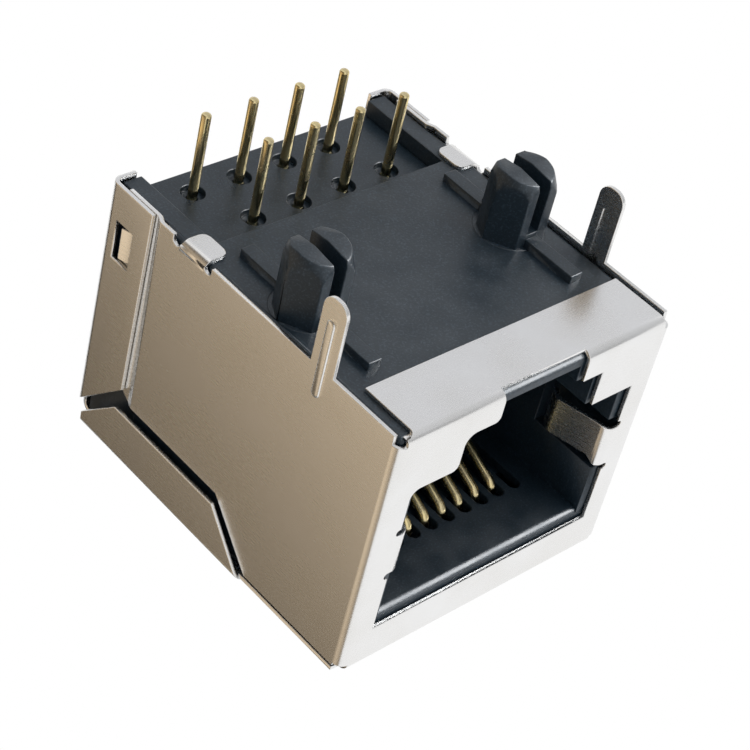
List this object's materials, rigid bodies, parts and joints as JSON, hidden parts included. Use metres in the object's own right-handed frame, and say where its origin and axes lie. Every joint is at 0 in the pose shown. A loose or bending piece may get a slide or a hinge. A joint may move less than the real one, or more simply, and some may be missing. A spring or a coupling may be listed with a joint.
{
  "type": "rj45 board jack",
  "caption": "Shielded eight-way modular jack for a circuit board: folded sheet-metal shield over a black moulded housing, with gold wire contacts and split locating posts.",
  "frame": {"origin": "midway between the two locating posts, on the board's face that the jack's rails stand on", "axes": "+Z away from the board, -Y out of the mouth, +Y towards the rear row of pins; the posts and pins point along -Z"},
  "size_m": [0.0162, 0.0185, 0.0168],
  "materials": {
    "shield_metal": "bright nickel-plated sheet, lightly brushed",
    "black_plastic": "satin moulded, fine grain",
    "contact_gold": "gold-plated wire, bright"
  },
  "bodies": {
    "root": {"shield": "shield_metal", "housing": "black_plastic", "contact_carrier": "black_plastic", "contact_1": "contact_gold", "contact_2": "contact_gold", "contact_3": "contact_gold", "contact_4": "contact_gold", "contact_5": "contact_gold", "contact_6": "contact_gold", "contact_7": "contact_gold", "contact_8": "contact_gold"}
  },
  "joints": []
}
